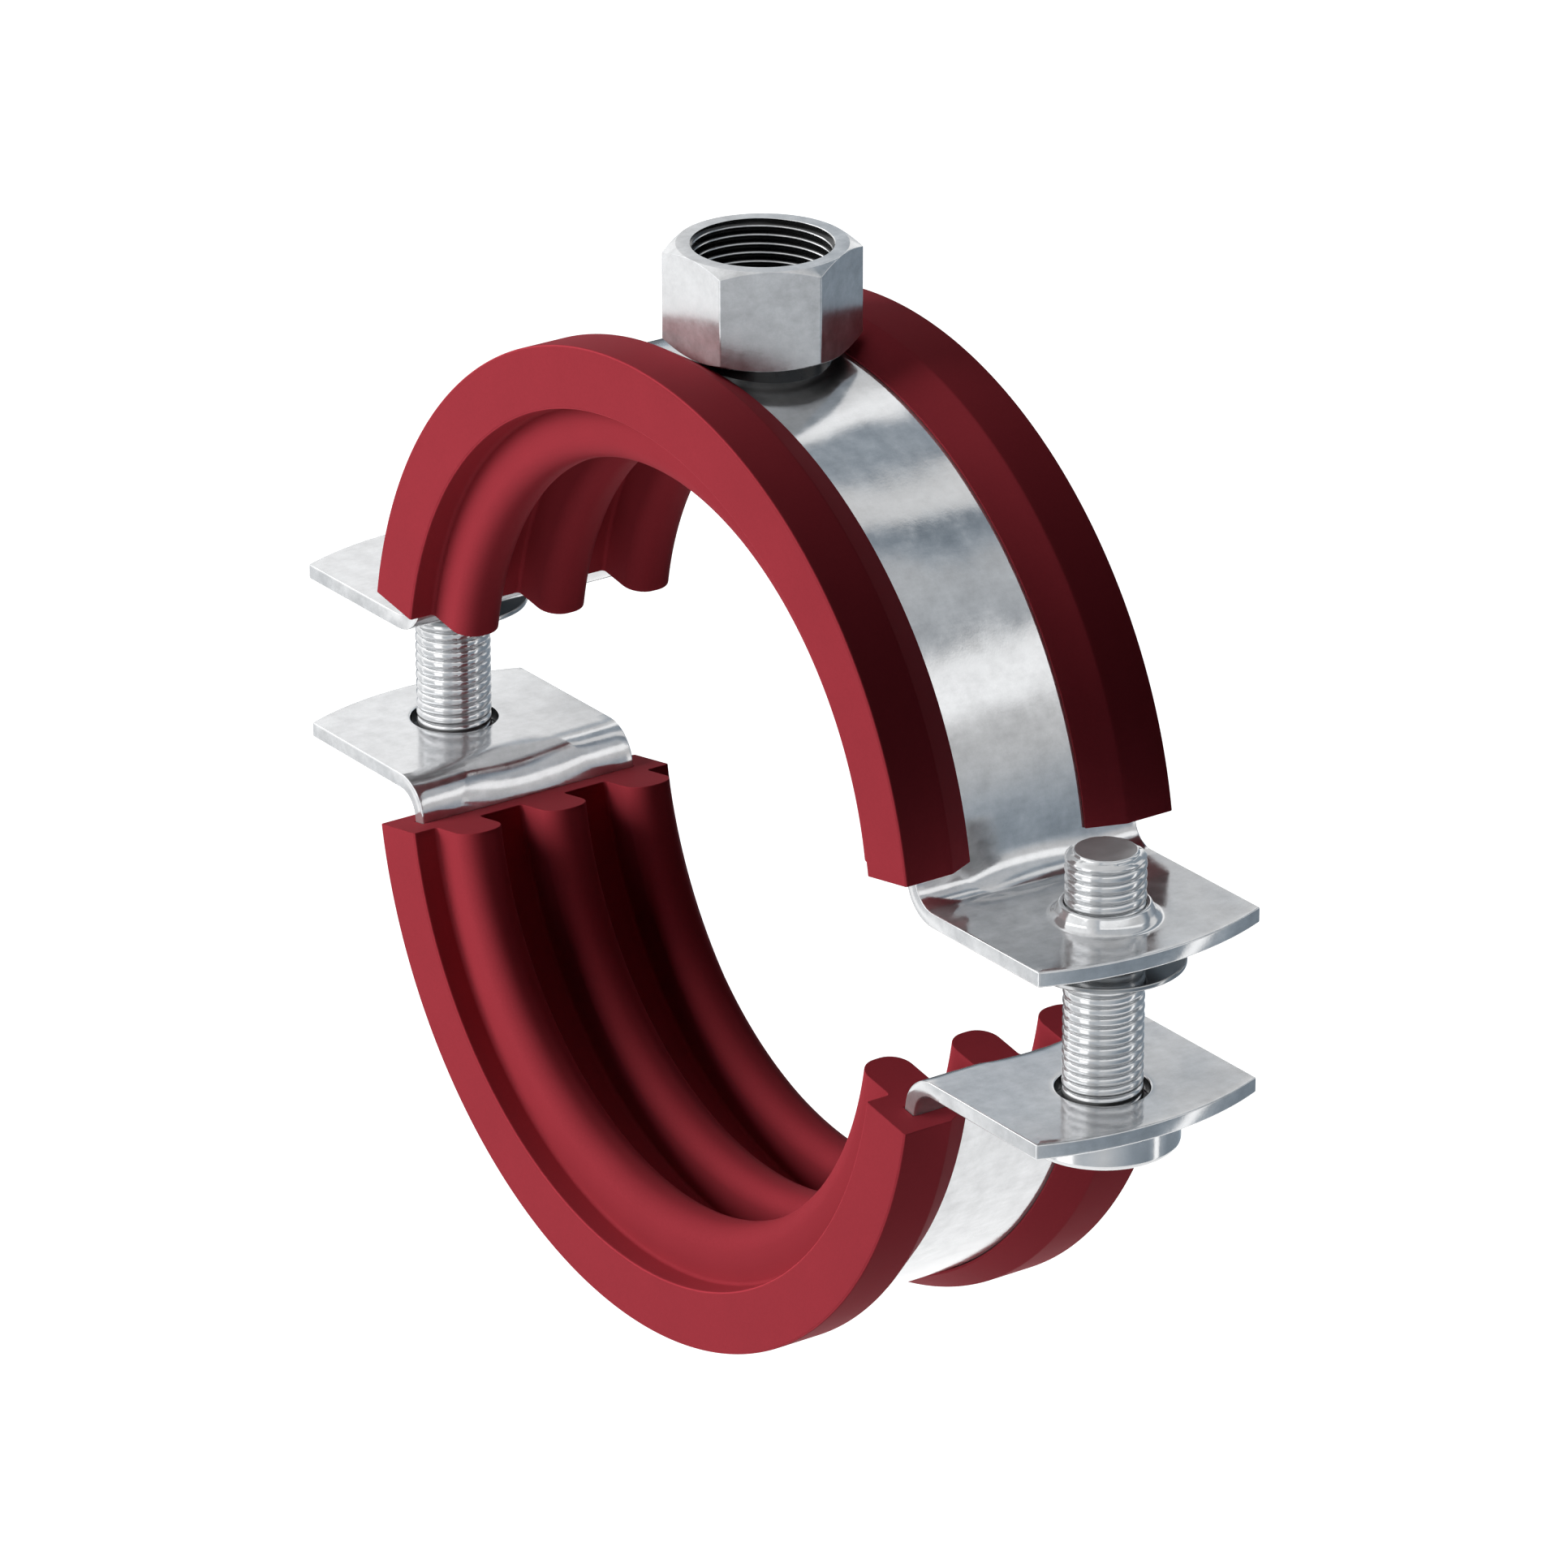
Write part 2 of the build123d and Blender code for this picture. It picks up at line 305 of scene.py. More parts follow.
def dress(name, shell, node, body, material):
    """Makes the piece's object, gives it its finish and body, and lets it stand for its node."""
    data = shell if isinstance(shell, bpy.types.Mesh) else shell.mesh(name)
    data.materials.clear()
    data.materials.append(material)
    piece = add_object(name, data)
    even = piece.modifiers.new("Even normals", "WEIGHTED_NORMAL")
    even.mode = "FACE_AREA"
    even.keep_sharp = True
    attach(piece, body)
    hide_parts(node)


# Finishes

# A height in millimetres that no point reaches, and a crest radius under which a whole bore takes the painted
# shade
BEYOND = 100.0
WHOLE_BORE = -1.0
# In millimetres: how far the painted shade reaches past a bore and past a thread's valley, how far under a
# bore's mouth it stops, and its slack at a flat face
BORE_MARGIN = 0.03
VALLEY_MARGIN = 0.1
MOUTH_MARGIN = 0.05
FACE_MARGIN = 0.02
# Over these depths in millimetres a thread's valley darkens with painted shade, and an edge's painted
# highlight fades
VALLEY_FADE = (0.01, 0.07)
EDGE_FADE = (0.14, 0.07)
STEEL_SPECULAR = 0.5


class Graph:
    """Short ways to add and join the nodes of one node tree."""

    def __init__(self, tree):
        self.nodes = tree.nodes
        self.links = tree.links

    def feed(self, slot, value):
        """Joins an input to another node's output, or sets it to a plain value."""
        if isinstance(value, bpy.types.NodeSocket):
            self.links.new(value, slot)
        else:
            slot.default_value = value

    def fill(self, node, values):
        """Feeds a node's inputs by their names and gives its outputs."""
        for label, value in values.items():
            self.feed(node.inputs[label], value)
        return node.outputs

    def maths(self, operation, *values):
        """The result of a maths operation on sockets or numbers."""
        node = self.nodes.new("ShaderNodeMath")
        node.operation = operation
        for slot, value in zip(node.inputs, values):
            self.feed(slot, value)
        return node.outputs["Value"]

    def blend(self, *parts):
        """The sum of sockets, each times its weight."""
        total = 0.0
        for socket, weight in reversed(parts):
            total = self.maths("ADD", self.maths("MULTIPLY", socket, weight), total)
        return total

    def tinted(self, colour, shade):
        """A colour made lighter or darker by a factor."""
        node = self.nodes.new("ShaderNodeVectorMath")
        node.operation = "SCALE"
        return self.fill(node, {"Vector": colour, "Scale": shade})["Vector"]

    def millimetres(self, stretch=(1.0, 1.0, 1.0)):
        """The surface point in millimetres of the part's own frame, squeezed along the axes as given."""
        node = self.nodes.new("ShaderNodeVectorMath")
        node.operation = "MULTIPLY"
        self.feed(node.inputs[0], self.nodes.new("ShaderNodeTexCoord").outputs["Object"])
        self.feed(node.inputs[1], [s / MM for s in stretch])
        return node.outputs["Vector"]

    def axes(self, place):
        """The X, Y and Z of a point."""
        return self.fill(self.nodes.new("ShaderNodeSeparateXYZ"), {"Vector": place})

    def noise(self, place, scale, detail, roughness):
        """A noise value over the surface."""
        values = {"Vector": place, "Scale": scale, "Detail": detail, "Roughness": roughness}
        return self.fill(self.nodes.new("ShaderNodeTexNoise"), values)["Fac"]

    def from_axis(self, across, up):
        """How far a point lies from an axis, from its two offsets."""
        squares = [self.maths("MULTIPLY", offset, offset) for offset in (across, up)]
        return self.maths("SQRT", self.maths("ADD", *squares))

    def fade(self, value, start, end):
        """0 at the start, 1 at the end and a smooth way between them."""
        node = self.nodes.new("ShaderNodeMapRange")
        node.interpolation_type = "SMOOTHSTEP"
        return self.fill(node, {"Value": value, "From Min": start, "From Max": end})["Result"]

    def place(self, group, values):
        """The outputs of a shared group placed here with its own values."""
        node = self.nodes.new("ShaderNodeGroup")
        node.node_tree = group
        return self.fill(node, values)


def socket_kind(label):
    """The type of a group's socket by its name."""
    return "NodeSocketColor" if label == "Colour" else "NodeSocketFloat"


def shared_group(name, fill, inputs):
    """The node group of that name, made once; fill joins its inputs up and gives its outputs."""
    if name in bpy.data.node_groups:
        return bpy.data.node_groups[name]
    group = bpy.data.node_groups.new(name, "ShaderNodeTree")
    for label, value in inputs.items():
        socket = group.interface.new_socket(label, in_out="INPUT", socket_type=socket_kind(label))
        socket.default_value = value
    graph = Graph(group)
    results = fill(graph, graph.nodes.new("NodeGroupInput").outputs)
    for label in results:
        group.interface.new_socket(label, in_out="OUTPUT", socket_type=socket_kind(label))
    graph.fill(group.nodes.new("NodeGroupOutput"), results)
    return group


def zinc_plate(graph, given):
    """Clouded, finely grained zinc plate: colour, roughness and height."""
    place = graph.millimetres()
    brushed = graph.millimetres((1.0, 0.2, 1.0))
    clouds = graph.noise(place, given["Cloud Scale"], detail=6.0, roughness=0.62)
    streaks = graph.noise(brushed, scale=2.4, detail=3.0, roughness=0.6)
    grain = graph.noise(place, scale=7.0, detail=2.0, roughness=0.7)
    waves = graph.noise(place, scale=0.11, detail=1.0, roughness=0.4)
    mottle = graph.blend((clouds, 0.65), (streaks, 0.2), (grain, 0.15))
    centred = graph.maths("SUBTRACT", mottle, 0.5)
    shade = graph.maths("MULTIPLY_ADD", centred, given["Clouds"], 1.0)
    spread = graph.maths("MULTIPLY_ADD", centred, given["Roughness Spread"], given["Roughness"])
    cut_end = graph.maths("GREATER_THAN", graph.axes(place)["Z"], given["Cut Height"])
    height = graph.maths("MULTIPLY_ADD", grain, 0.35, clouds)
    return {
        "Colour": graph.tinted(given["Colour"], shade),
        "Roughness": graph.maths("MULTIPLY_ADD", cut_end, given["Cut Roughness"], spread),
        "Height": graph.maths("MULTIPLY_ADD", waves, given["Waviness"], height),
    }


ZINC_PLATE = {
    "Colour": (0.7, 0.71, 0.72, 1.0),
    "Clouds": 0.5,
    "Cloud Scale": 0.5,
    "Roughness": 0.2,
    "Roughness Spread": 0.1,
    "Cut Height": BEYOND,
    "Cut Roughness": 0.12,
    "Waviness": 0.0,
}


def painted_bore_shade(graph, given):
    """Zinc's colour with painted shade: dark in thread valleys, in the screws' holes and on the welded foot.
    """
    at = graph.axes(graph.millimetres())
    off_axis = graph.maths("SUBTRACT", graph.maths("ABSOLUTE", at["X"]), given["Axis"])
    radius = graph.from_axis(off_axis, at["Y"])
    past_crest = graph.maths("SUBTRACT", radius, given["Crest Radius"])
    within = graph.maths("LESS_THAN", radius, given["Outside Radius"])
    within = graph.maths("MULTIPLY", within, graph.maths("LESS_THAN", at["Z"], given["Top"]))
    within = graph.maths("MULTIPLY", within, graph.maths("GREATER_THAN", at["Z"], given["Bottom"]))
    valley = graph.maths("MULTIPLY", graph.fade(past_crest, *VALLEY_FADE), within)
    dark = graph.maths("MAXIMUM", valley, graph.maths("LESS_THAN", at["Z"], given["Foot"]))
    loss = graph.maths("MULTIPLY", dark, graph.maths("SUBTRACT", 1.0, given["Valley"]))
    return {"Colour": graph.tinted(given["Colour"], graph.maths("SUBTRACT", 1.0, loss))}


PAINTED_BORE_SHADE = {
    "Colour": (0.7, 0.71, 0.72, 1.0),
    "Axis": 0.0,
    "Crest Radius": 5.2,
    "Outside Radius": 6.0,
    "Top": 42.0,
    "Bottom": 35.0,
    "Foot": 34.7,
    "Valley": 0.06,
}


def painted_highlight_edges(graph, place, given):
    """1 along the round edges of an insert's front and back, fading to 0 beside them: where a painted
    highlight lightens the silicone.
    """
    at = graph.axes(place)
    split = HALF_SPACING / 2 / MM
    off_split = graph.maths("ABSOLUTE", graph.maths("ADD", at["Z"], split))
    radius = graph.from_axis(graph.maths("SUBTRACT", off_split, split), at["X"])
    beside = graph.maths("SUBTRACT", given["Half Width"], graph.maths("ABSOLUTE", at["Y"]))
    gaps = [
        graph.maths("ABSOLUTE", graph.maths("SUBTRACT", given[edge], radius))
        for edge in ("Outer Radius", "Inner Radius")
    ]
    away = graph.maths("MAXIMUM", graph.maths("MINIMUM", *gaps), beside)
    return graph.fade(away, *EDGE_FADE)


def silicone_skin(graph, given):
    """Matte moulded silicone: colour, roughness and height of a fine even grain, the colour with a painted
    highlight along the round edges of its front and back.
    """
    place = graph.millimetres()
    speckle = graph.noise(place, scale=5.5, detail=2.0, roughness=0.7)
    cloud = graph.noise(place, scale=0.22, detail=3.0, roughness=0.5)
    centred = graph.maths("SUBTRACT", graph.blend((speckle, 0.6), (cloud, 0.4)), 0.5)
    shade = graph.maths("MULTIPLY_ADD", centred, given["Speckle"], 1.0)
    # Painted highlight: the colour is lightened along the round edges of the front and back
    painted_edge_highlight = graph.maths("MULTIPLY", painted_highlight_edges(graph, place, given), given["Edge Highlight"])
    return {
        "Colour": graph.tinted(given["Colour"], graph.maths("ADD", shade, painted_edge_highlight)),
        "Roughness": graph.maths("MULTIPLY_ADD", centred, 0.2, given["Roughness"]),
        "Height": speckle,
    }


SILICONE_SKIN = {
    "Colour": (0.365, 0.045, 0.06, 1.0),
    "Speckle": 0.3,
    "Roughness": 0.55,
    "Outer Radius": 35.5,
    "Inner Radius": 30.6,
    "Half Width": 12.1,
    "Edge Highlight": 0.6,
}


def new_material(name):
    """A material with nodes, and the short ways to them."""
    material = bpy.data.materials.new(name)
    material.use_nodes = True
    return material, Graph(material.node_tree)


def finish_material(name, group, values, metallic, specular, bump_depth, bores=None):
    """A Principled finish fed by a shared group, with painted shade in its bores if their sizes are given."""
    if name in bpy.data.materials:
        return bpy.data.materials[name]
    material, graph = new_material(name)
    skin = graph.place(group, values)
    colour = skin["Colour"]
    # Painted shade: the bores' hollows are darkened in the base colour
    if bores:
        dark = shared_group("Painted bore shade", painted_bore_shade, PAINTED_BORE_SHADE)
        colour = graph.place(dark, {"Colour": colour, **bores})["Colour"]
    relief = {"Strength": 1.0, "Distance": bump_depth * MM, "Height": skin["Height"]}
    graph.fill(graph.nodes["Principled BSDF"], {
        "Base Color": colour,
        "Metallic": metallic,
        "Roughness": skin["Roughness"],
        "Specular IOR Level": specular,
        "Normal": graph.fill(graph.nodes.new("ShaderNodeBump"), relief)["Normal"],
    })
    return material


def steel(name, values, bump_depth, metallic=None, tone=1.0, bores=None):
    """Zinc-plated steel with the given mottling."""
    colours = bpy.context.scene.clamp_finish
    if metallic is None:
        metallic = colours.zinc_metallic
    values = {"Colour": (*(tone * c for c in colours.zinc), 1.0), **values}
    group = shared_group("Zinc plate", zinc_plate, ZINC_PLATE)
    return finish_material(name, group, values, metallic, STEEL_SPECULAR, bump_depth, bores)


def silicone():
    """The inserts' red silicone."""
    colours = bpy.context.scene.clamp_finish
    sizes = bpy.context.scene.clamp_insert
    values = {
        "Colour": (*colours.silicone, 1.0),
        "Roughness": colours.silicone_roughness,
        "Outer Radius": sizes.outer_radius / MM,
        "Inner Radius": sizes.floor_radius / MM,
        "Half Width": sizes.half_width / MM,
    }
    group = shared_group("Silicone skin", silicone_skin, SILICONE_SKIN)
    return finish_material("Red silicone", group, values, metallic=0.0, specular=0.02, bump_depth=0.006)


# Straps

BEND_STEPS = 36
RING_STEPS = 80
SIDE_STEPS = 6
GUSSET_STEPS = 18
RIM_STEPS = 4
LUG_SIDE_STEPS = 16
LUG_CORNER_STEPS = 6
LUG_END_STEPS = 44
LUG_RINGS = 8
HOLE_STEPS = 6
# How far down the lug and up the ring the gusset's sides go on flaring
FLARE_FOOT = -2.2 * MM
FLARE_TOP = 2.1 * MM
# Half the distance between the close pair of rows at a crease
CREASE = 0.05 * MM
# Width of the flat ring between a hole's section and the lug's own grid
HOLE_APRON = 0.5 * MM
HOLE_ROUND = 0.16 * MM
# How far inside their radii the collar's foot, shoulder and rim lie, and how each of them is rounded
COLLAR_INSETS = (0.05 * MM, 0.02 * MM, 0.04 * MM)
COLLAR_ROUNDS = (0.6 * MM, 0.9 * MM, 0.22 * MM)
# Rounding of the collar's bore at its mouth and at the lug's underside
BORE_ROUNDS = (0.1 * MM, 0.12 * MM)


class Station:
    """One place along the strap: its plain and its pressed (x, z, angle), and the gusset's half width."""

    def __init__(self, plain, pressed, half_width):
        self.plain = plain
        self.pressed = pressed
        self.half_width = half_width

    def point(self, y, height, fullness):
        """Where the sheet lies at y across the strap and at a height over its middle."""
        share_pressed = 1 - min(1.0, abs(y) / self.half_width) ** fullness
        (ax, az), (bx, bz) = (
            (x + height * cos(angle), z + height * sin(angle)) for x, z, angle in (self.plain, self.pressed)
        )
        return (ax + (bx - ax) * share_pressed, y, az + (bz - az) * share_pressed)


def bend_centre(sizes, inside_radius):
    """The (x, z) round which a bend of that inside radius joins the ring to the lug."""
    z = sizes.lug_height + sizes.thickness + inside_radius
    return sqrt((sizes.inner_radius + sizes.thickness + inside_radius) ** 2 - z**2), z


def bend_course(sizes, inside_radius, share_along, start_angle, end_x):
    """The (x, z, angle) at a share of the way from the ring, round one bend, to end_x."""
    middle = sizes.inner_radius + sizes.thickness / 2
    radius = inside_radius + sizes.thickness / 2
    centre_x, centre_z = bend_centre(sizes, inside_radius)
    tangent = atan2(centre_z, centre_x)
    ring_run = middle * (start_angle - tangent)
    bend_run = radius * (pi / 2 - tangent)
    run = share_along * (ring_run + bend_run + end_x - centre_x)
    if run < ring_run:
        angle = start_angle - run / middle
        return (middle * cos(angle), middle * sin(angle), angle)
    run -= ring_run
    if run < bend_run:
        angle = tangent + run / radius
        return (centre_x - radius * cos(angle), centre_z - radius * sin(angle), angle)
    return (centre_x + run - bend_run, sizes.lug_height + sizes.thickness / 2, pi / 2)


def stations(sizes):
    """The strap's stations from the crown to the start of the right lug."""
    plain_x, plain_z = bend_centre(sizes, sizes.bend_radius)
    pressed_x, pressed_z = bend_centre(sizes, sizes.gusset_radius)
    start_angle = atan2(pressed_z, pressed_x)
    middle = sizes.inner_radius + sizes.thickness / 2
    course = []
    for i in range(RING_STEPS):
        angle = pi / 2 - (pi / 2 - start_angle) * i / RING_STEPS
        course.append([(middle * cos(angle), middle * sin(angle), angle)] * 2)
    for i in range(BEND_STEPS + 1):
        course.append([
            bend_course(sizes, radius, i / BEND_STEPS, start_angle, pressed_x)
            for radius in (sizes.bend_radius, sizes.gusset_radius)
        ])
    made = []
    for plain, pressed in course:
        x, z, angle = plain
        reach_x = x + cos(angle) * sizes.thickness / 2 - plain_x
        reach_z = z + sin(angle) * sizes.thickness / 2 - plain_z
        up_the_ring = max(FLARE_FOOT, min(FLARE_TOP, (reach_z - reach_x) / sqrt(2)))
        made.append(Station(plain, pressed, sizes.gusset_half_width + sizes.gusset_flare * up_the_ring))
    return made


def across(sizes, half_width):
    """Places across the strap, with a close pair at each crease of the gusset."""
    edge = sizes.width / 2 - sizes.edge_round
    half = [edge + (half_width + CREASE - edge) * i / SIDE_STEPS for i in range(SIDE_STEPS + 1)]
    half += [(half_width - CREASE) * (1 - i / GUSSET_STEPS) for i in range(GUSSET_STEPS)]
    return [-y for y in half] + [0.0] + list(reversed(half))


def rim_profile(sizes):
    """The rounded edge of the sheet, from its back to its gap side: (outwards, height) pairs."""
    half = sizes.thickness / 2
    edge = sizes.edge_round
    angles = [pi / 2 * k / RIM_STEPS for k in range(RIM_STEPS + 1)]
    upper = [(edge * sin(angle), half - edge + edge * cos(angle)) for angle in angles]
    return upper + [(outwards, -height) for outwards, height in reversed(upper)]


def lug_outline(sizes, start_x):
    """The lug's outline in plan, from the ring's side round its curved end and back: (x, y, angle)."""
    half = sizes.width / 2
    radius = (half**2 + sizes.lug_bulge**2) / (2 * sizes.lug_bulge)
    centre = sizes.lug_corner + sizes.lug_bulge - radius
    corner = sizes.corner_round
    corner_x = centre + sqrt((radius - corner) ** 2 - (half - corner) ** 2)
    end_angle = atan2(-(half - corner), corner_x - centre)
    run = []
    for i in range(LUG_SIDE_STEPS):
        run.append((start_x + (corner_x - start_x) * i / LUG_SIDE_STEPS, -half, -pi / 2))
    for i in range(LUG_CORNER_STEPS):
        angle = -pi / 2 + (end_angle + pi / 2) * i / LUG_CORNER_STEPS
        run.append((corner_x + corner * cos(angle), -half + corner + corner * sin(angle), angle))
    for i in range(LUG_END_STEPS // 2):
        angle = end_angle * (1 - 2 * i / LUG_END_STEPS)
        run.append((centre + radius * cos(angle), radius * sin(angle), angle))
    middle = [(centre + radius, 0.0, 0.0)]
    return run + middle + [(x, -y, -angle) for x, y, angle in reversed(run)]


def collar_path(sizes):
    """Section of an upper lug round its screw, back side first: (radius, height) pairs."""
    half = sizes.thickness / 2
    bore = sizes.thread_hole / 2
    apron = sizes.collar_foot / 2 + HOLE_APRON
    heights = (0.0, sizes.collar_shoulder_height, sizes.collar_height)
    diameters = (sizes.collar_foot, sizes.collar_shoulder, sizes.collar_top)
    collar = [
        (diameter / 2 - inwards, half + height, rounding)
        for diameter, inwards, height, rounding in zip(diameters, COLLAR_INSETS, heights, COLLAR_ROUNDS)
    ]
    mouth_round, foot_round = BORE_ROUNDS
    bore_wall = [(bore, half + sizes.collar_height, mouth_round), (bore, -half, foot_round)]
    return rounded_path([(apron, half, 0), *collar, *bore_wall, (apron, -half, 0)], HOLE_STEPS)


def hole_path(sizes):
    """Section of a lower lug round its screw, back side first: (radius, height) pairs."""
    half = sizes.thickness / 2
    radius = sizes.pass_hole / 2
    apron = radius + HOLE_APRON
    corners = [(apron, half, 0), (radius, half, HOLE_ROUND), (radius, -half, HOLE_ROUND), (apron, -half, 0)]
    return rounded_path(corners, HOLE_STEPS)


def strap_shell(sizes, hole, place):
    """The whole half strap: ring, bends with their gussets, and two lugs round their holes."""
    shell = Shell()
    course = stations(sizes)
    start = course[-1]
    start_x = start.plain[0]
    rim = rim_profile(sizes)
    edge = sizes.edge_round
    edge_y = sizes.width / 2 - edge
    lug_rim = [(out - edge, height) for out, height in rim]
    rings = [k / LUG_RINGS for k in range(LUG_RINGS + 1)]
    faces = (sizes.thickness / 2, -sizes.thickness / 2)
    lug_middle = sizes.lug_height + sizes.thickness / 2
    outline = lug_outline(sizes, start_x)
    loop = [(x - edge * cos(angle), y - edge * sin(angle)) for x, y, angle in outline]
    loop += [(start_x, y) for y in reversed(across(sizes, start.half_width)[1:-1])]
    bearings = [atan2(y, x - SCREW_X) for x, y in loop]
    for side in (-1, 1):
        def on_ring(station, y, height, side=side):
            x, y, z = station.point(y, height, sizes.gusset_fullness)
            return place((side * x, y, z))

        def on_lug(x, y, height, side=side):
            return place((side * x, y, lug_middle + height))

        for height in faces:
            shell.grid([[on_ring(s, y, height) for y in across(sizes, s.half_width)] for s in course])
        for edge_side in (-1, 1):
            shell.grid([
                [on_ring(s, edge_side * (edge_y + out), height) for out, height in rim] for s in course
            ])
        shell.grid([
            [on_lug(x + out * cos(angle), y + out * sin(angle), height) for out, height in lug_rim]
            for x, y, angle in outline
        ])
        for height in faces:
            rows = []
            for (far_x, far_y), b in zip(loop, bearings):
                x = SCREW_X + hole[0][0] * cos(b)
                y = hole[0][0] * sin(b)
                rows.append([on_lug(x + (far_x - x) * k, y + (far_y - y) * k, height) for k in rings])
            shell.grid(rows, round_rows=True)
        shell.grid([
            [on_lug(SCREW_X + radius * cos(b), radius * sin(b), height) for radius, height in hole]
            for b in bearings
        ], round_rows=True)
    return shell


# Silicone inserts

INSERT_STEPS = 150
END_STEPS = 3
SECTION_STEPS = 8
LAND_ROUND = 0.5 * MM
CHANNEL_ROUND = 0.08 * MM


def insert_section(sizes):
    """Closed section of the insert as (radius, y), its corners rounded."""
    half = [
        (sizes.channel_floor, sizes.channel_half, CHANNEL_ROUND),
        (sizes.channel_roof, sizes.channel_half, CHANNEL_ROUND),
        (sizes.channel_roof, sizes.tip_half, CHANNEL_ROUND),
        (sizes.tip_radius, sizes.tip_half, CHANNEL_ROUND),
        (sizes.outer_radius, sizes.land_half, LAND_ROUND),
        (sizes.outer_radius, sizes.half_width, sizes.edge_round),
        (sizes.floor_radius, sizes.half_width, sizes.edge_round),
    ]
    corners = [(radius, -y, rounding) for radius, y, rounding in reversed(half)] + half
    crest = sizes.floor_radius - sizes.rib_height
    for rib in (1, 0, -1):
        top = rib * sizes.rib_pitch + sizes.rib_width / 2
        bottom = top - sizes.rib_width
        corners += [
            (sizes.floor_radius, top, sizes.rib_root),
            (crest, top, sizes.rib_tip),
            (crest, bottom, sizes.rib_tip),
            (sizes.floor_radius, bottom, sizes.rib_root),
        ]
    return rounded_path(corners, SECTION_STEPS, closed=True)


def insert_shell(sizes, place):
    """The insert's section swept round the pipe axis, its cut ends slightly eased."""
    shell = Shell()
    outline = insert_section(sizes)
    first = sizes.end_angle
    last = pi - sizes.end_angle
    rows = []
    for end, way in ((first, 1), (last, -1)):
        ring_rows = []
        for k in range(END_STEPS + 1):
            angle = pi / 2 * k / END_STEPS
            ring = inset(outline, sizes.end_round * (1 - sin(angle)))
            eased = way * sizes.end_round * (1 - cos(angle))
            ring_rows.append([
                place((r * cos(end) - eased * sin(end), y, r * sin(end) + eased * cos(end))) for r, y in ring
            ])
        shell.cap(ring_rows[0])
        rows.append(ring_rows)
    body = [
        [place((r * cos(angle), y, r * sin(angle))) for r, y in outline]
        for angle in (first + (last - first) * i / INSERT_STEPS for i in range(1, INSERT_STEPS))
    ]
    shell.grid(rows[0] + body + list(reversed(rows[1])), round_columns=True)
    return shell


# Threads


def thread_run(bearing, pitch, low, high, rows, turns_before, lead=0.0):
    """Up a thread at one bearing: each row's height, kept between two, and how far it is off the crest."""
    turns = int(ceil((high - low) / pitch))
    for k in range(-turns_before * rows, (turns + 1) * rows + 1):
        height = low + lead + pitch * (k / rows + bearing / (2 * pi))
        yield max(low, min(high, height)), abs((k / rows) % 1.0 - 0.5) * 2


# Connection nut

FLAT_STEPS = 14
HEX_CORNER_STEPS = 6
NUT_STEPS = 5
THREAD_ROWS = 10
THREAD_LEAD = 0.2 * MM
# Share of the thread's half pitch that is flat crest, and how steeply its flank falls from there
THREAD_FLAT = 0.12
THREAD_FLANK = 1.6
# How far inside the flats the chamfers start
CHAMFER_INSET = 0.03 * MM
RIM_ROUND = 0.12 * MM
COLLAR_FILLET = 0.3 * MM
FLOOR_ROUND = 0.1 * MM
# Radius of the strap's outside, down to which the weld collar reaches
WELD_RADIUS = 33.7 * MM


def hex_outline(sizes):
    """The nut's outline in plan, corners on the X axis, each rounded: points round the axis."""
    reach = sizes.across_flats / sqrt(3)
    angles = [radians(60 * i) for i in range(6)]
    corners = [(reach * cos(angle), reach * sin(angle), sizes.corner_round) for angle in angles]
    rounded = rounded_path(corners, HEX_CORNER_STEPS, closed=True)
    outline = []
    per_corner = HEX_CORNER_STEPS + 1
    for i in range(6):
        outline += rounded[i * per_corner:(i + 1) * per_corner]
        start = Vector(outline[-1])
        end = Vector(rounded[(i + 1) * per_corner % len(rounded)])
        outline += [tuple(start.lerp(end, k / FLAT_STEPS)) for k in range(1, FLAT_STEPS)]
    return outline


def nut_shell(sizes):
    """Chamfered hexagon with a stepped, threaded bore, on its weld collar."""
    shell = Shell()
    top = sizes.foot + sizes.height
    flat_radius = sizes.across_flats / 2 - CHAMFER_INSET
    mouth = sizes.mouth / 2
    bore = sizes.bore / 2
    bore_foot = sizes.foot + sizes.floor
    collar = sizes.collar / 2
    weld_bore = sizes.weld_bore / 2
    outline = hex_outline(sizes)
    outline.append(outline[0])
    rows = []
    for i, (x, y) in enumerate(outline):
        reach = hypot(x, y)
        bearing = atan2(y, x) % (2 * pi) if i < len(outline) - 1 else 2 * pi
        dx, dy = x / reach, y / reach
        drop = (reach - flat_radius) * tan(sizes.chamfer)
        outside = rounded_path([
            (mouth, top, 0),
            (flat_radius, top, RIM_ROUND),
            (reach, top - drop, sizes.edge_round),
            (reach, sizes.foot + drop, sizes.edge_round),
            (flat_radius, sizes.foot, RIM_ROUND),
            (collar, sizes.foot, COLLAR_FILLET),
            (collar, sqrt(WELD_RADIUS**2 - (collar * dx) ** 2), 0),
            (weld_bore, sqrt(WELD_RADIUS**2 - (weld_bore * dx) ** 2), 0),
            (weld_bore, bore_foot, FLOOR_ROUND),
            (bore, bore_foot, 0),
        ], NUT_STEPS)
        thread = []
        run = thread_run(bearing, sizes.thread_pitch, bore_foot, top, THREAD_ROWS, 2, THREAD_LEAD)
        for height, off_crest in run:
            depth = sizes.thread_depth * min(1.0, max(0.0, off_crest - THREAD_FLAT) * THREAD_FLANK)
            radius = max(bore + depth, mouth - (top - height))
            if height == bore_foot:
                radius = bore
            thread.append((min(radius, mouth) if height == top else radius, height))
        rows.append([(r * dx, r * dy, z) for r, z in outside + thread])
    shell.grid(rows)
    return shell


# Clamping screws and washers

SCREW_STEPS = 96
SCREW_ROWS = 12
HEAD_STEPS = 7
SEAT_ROUND = 0.18 * MM
